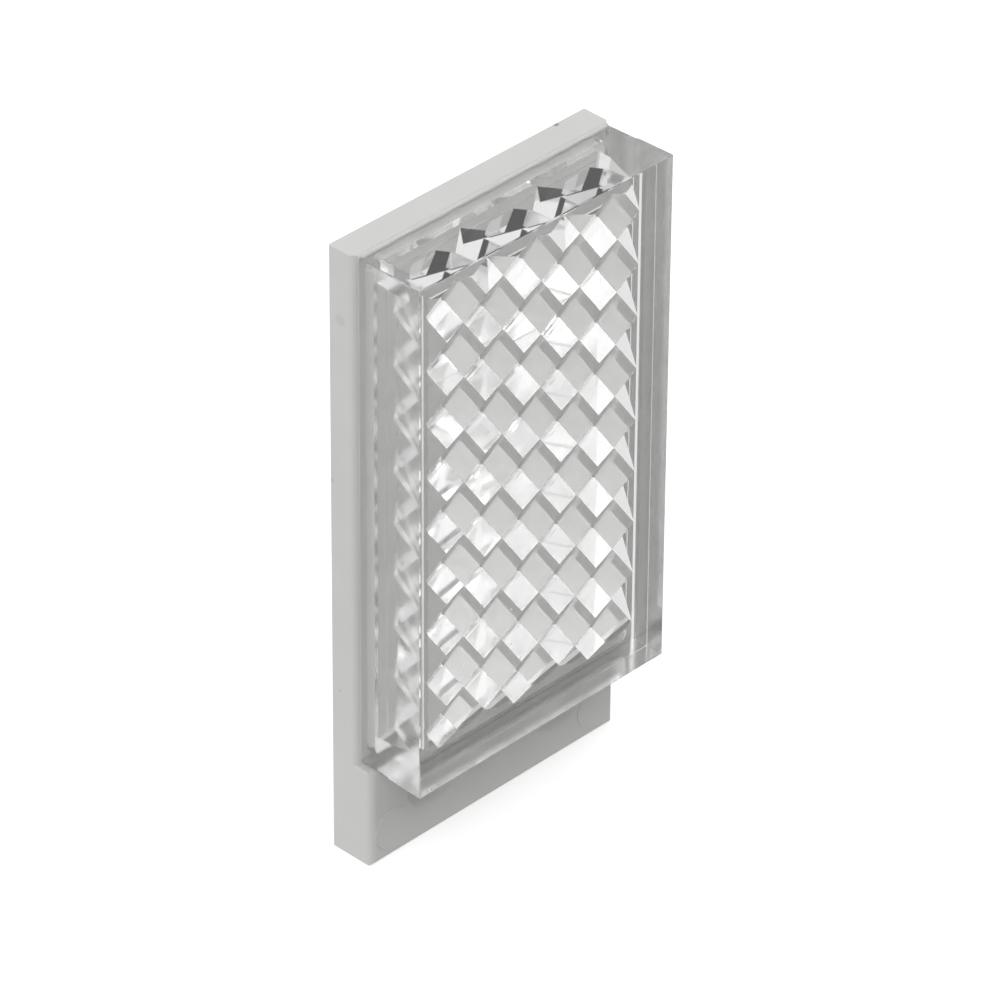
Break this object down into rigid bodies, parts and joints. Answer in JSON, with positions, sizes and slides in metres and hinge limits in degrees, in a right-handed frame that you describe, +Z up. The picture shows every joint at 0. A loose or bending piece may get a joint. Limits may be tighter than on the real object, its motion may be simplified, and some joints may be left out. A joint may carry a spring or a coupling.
{
  "type": "prism retroreflector",
  "caption": "Small rectangular corner-cube reflector for a photoelectric sensor: clear prism lens welded to a back plate with a screw flange.",
  "frame": {"origin": "midway between the two screw holes, on the plate's flat back", "axes": "+Z up along the plate, -Y out of the lens's front face, X across from one screw hole to the other"},
  "size_m": [0.0199, 0.0067, 0.0404],
  "materials": {
    "plate": "fine satin, light grey",
    "lens": "polished clear acrylic"
  },
  "bodies": {
    "root": {"back_plate": "plate", "prism_lens": "lens"}
  },
  "joints": []
}
